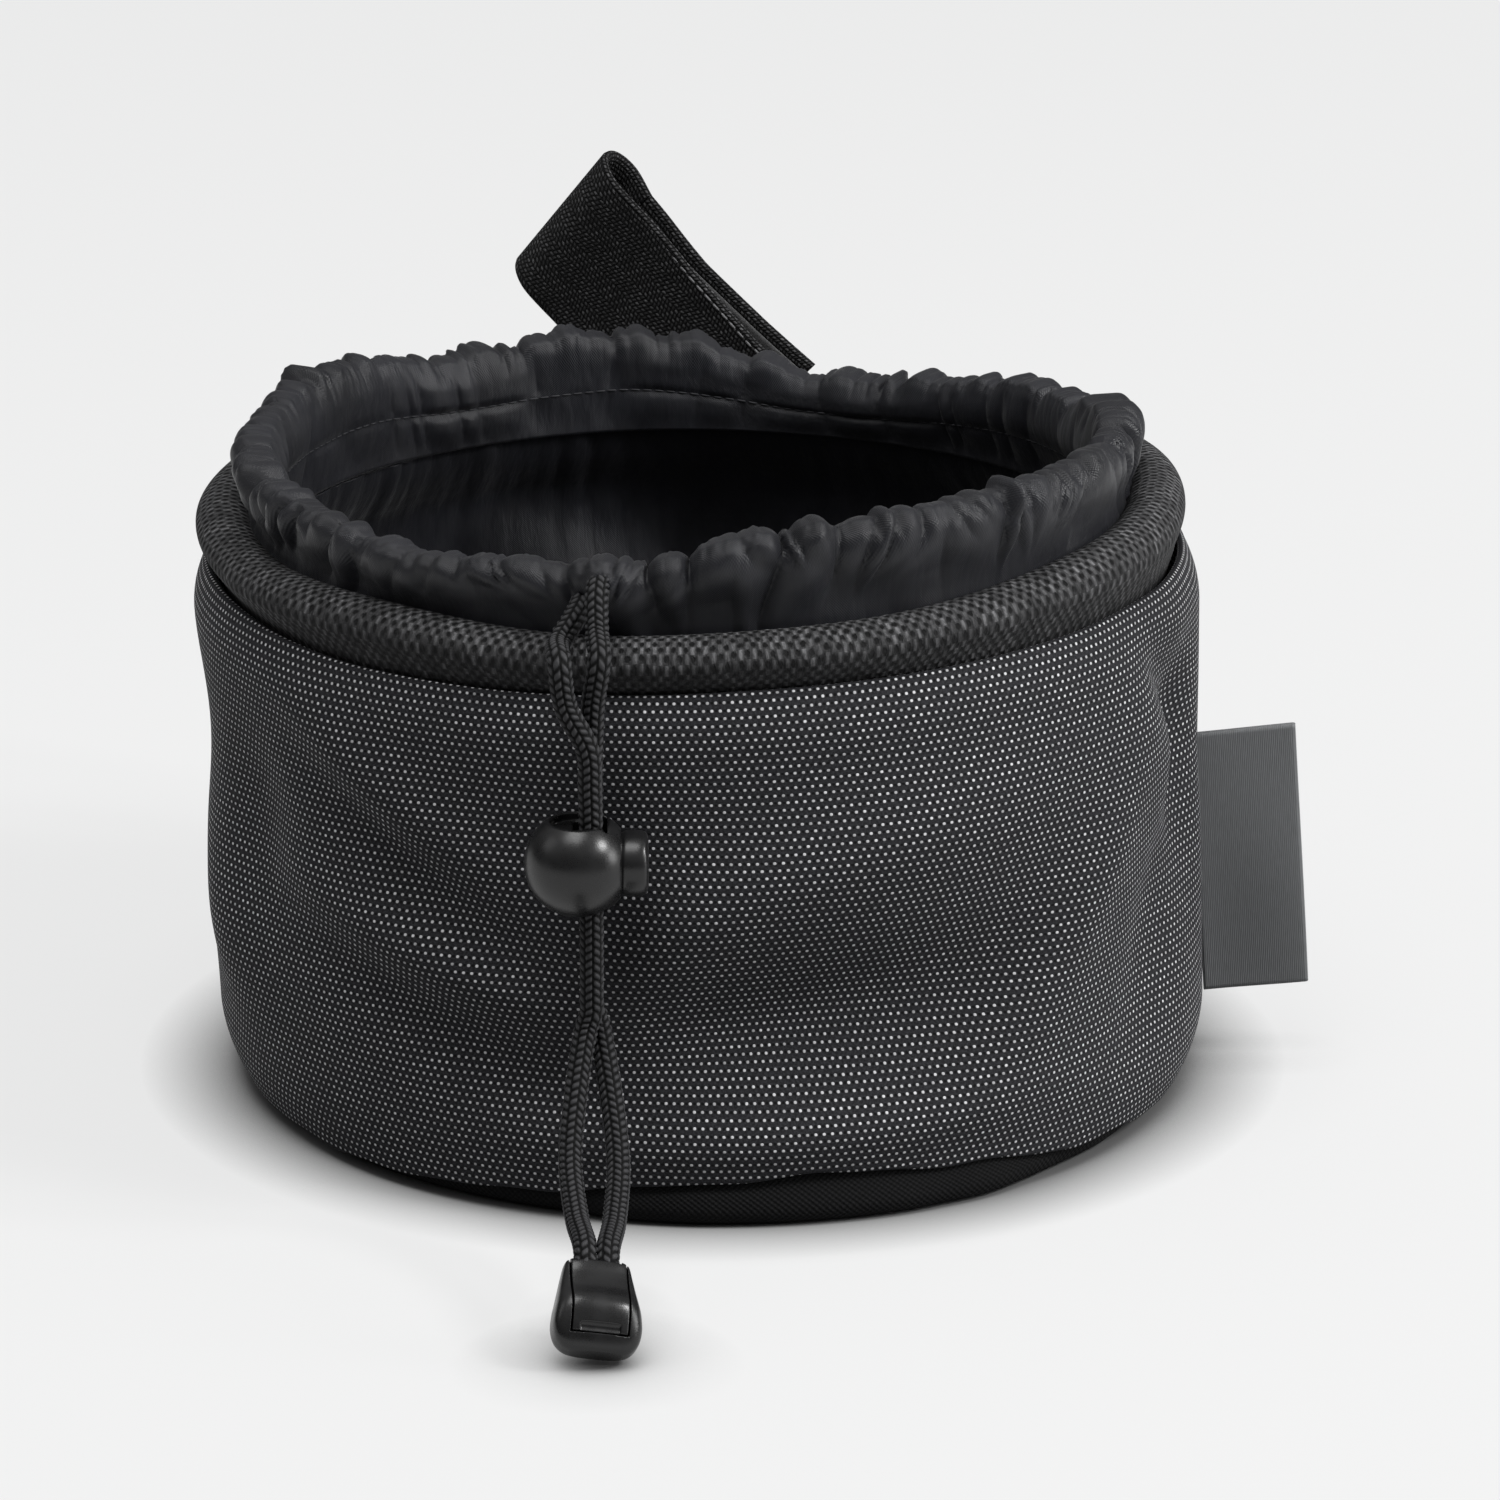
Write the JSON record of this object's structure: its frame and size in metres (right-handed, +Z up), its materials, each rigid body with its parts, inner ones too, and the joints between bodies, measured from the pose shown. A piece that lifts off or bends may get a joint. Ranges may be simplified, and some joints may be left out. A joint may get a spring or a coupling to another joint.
{
  "type": "peg bag",
  "caption": "Round soft bag for clothes pegs with a rolled rim, a gathered drawstring collar, a ball cord lock, a hanging strap and a side tag.",
  "frame": {"origin": "centre of the base panel's flat underside, on the surface that the bag stands on", "axes": "+Z up, -Y towards the front where the drawcord hangs, +X towards the side tag, +Y towards the hanging strap"},
  "size_m": [0.1883, 0.261, 0.137],
  "materials": {
    "dotted_fabric": "dark technical weave with a staggered grid of pale dots",
    "plain_fabric": "plain dark coated weave",
    "lining_fabric": "thin dark taffeta with a soft sheen",
    "woven_tape": "coarse woven tape",
    "cord_braid": "round braided cord",
    "black_plastic": "satin moulded plastic",
    "spring_steel": "drawn wire",
    "tag_fabric": "grey satin weave, left bare",
    "hook_and_loop": "hook and loop tape",
    "base_board": "plain sheet"
  },
  "bodies": {
    "bag": {"outer_wall": "dotted_fabric", "base_panel": "plain_fabric", "base_stiffener": "base_board", "base_lining": "lining_fabric", "wall_lining": "lining_fabric", "rim_band": "woven_tape", "rim_hoop": "spring_steel", "drawstring_collar": "lining_fabric", "drawcord_loop": "cord_braid", "drawcord_tail_left": "cord_braid", "drawcord_tail_right": "cord_braid", "cord_end_base": "black_plastic", "strap_root": "woven_tape"},
    "cord_lock": {"cord_lock_barrel": "black_plastic", "cord_lock_spring": "spring_steel"},
    "lock_button": {"cord_lock_plunger": "black_plastic"},
    "end_cover": {"cord_end_cover": "black_plastic"},
    "strap": {"strap_front_leg": "woven_tape", "hook_patch": "hook_and_loop"},
    "strap_flap": {"strap_rear_flap": "woven_tape", "loop_patch": "hook_and_loop"},
    "tag": {"side_tag": "tag_fabric"}
  },
  "joints": [
    {"name": "cord_lock_slide", "type": "slide", "parent": "bag", "child": "cord_lock", "axis": [0, 0, 1], "range_m": [-0.014, 0.014]},
    {"name": "lock_button_press", "type": "slide", "parent": "cord_lock", "child": "lock_button", "axis": [-1, 0, 0], "range_m": [0, 0.002], "stiffness_N_per_m": 600, "springref_m": -0.001, "deforming": ["cord_lock_spring"]},
    {"name": "end_cover_hinge", "type": "hinge", "parent": "bag", "child": "end_cover", "pos_m": [-0.0164, -0.14616, 0.00643], "axis": [0.9703, 0.165, -0.1769], "range_deg": [0, 100]},
    {"name": "strap_swing", "type": "hinge", "parent": "bag", "child": "strap", "pos_m": [0.01646, 0.08676, 0.08015], "axis": [-0.6485, 0.2489, -0.7193], "range_deg": [0, 70]},
    {"name": "strap_flap_open", "type": "hinge", "parent": "strap", "child": "strap_flap", "pos_m": [-0.01647, 0.10533, 0.11627], "axis": [0.6485, -0.2489, 0.7193], "range_deg": [0, 150]},
    {"name": "tag_swing", "type": "hinge", "parent": "bag", "child": "tag", "pos_m": [0.0856, 0, 0.0355], "axis": [0, 0, 1], "range_deg": [-70, 70], "stiffness_Nm_per_rad": 0.0004}
  ]
}
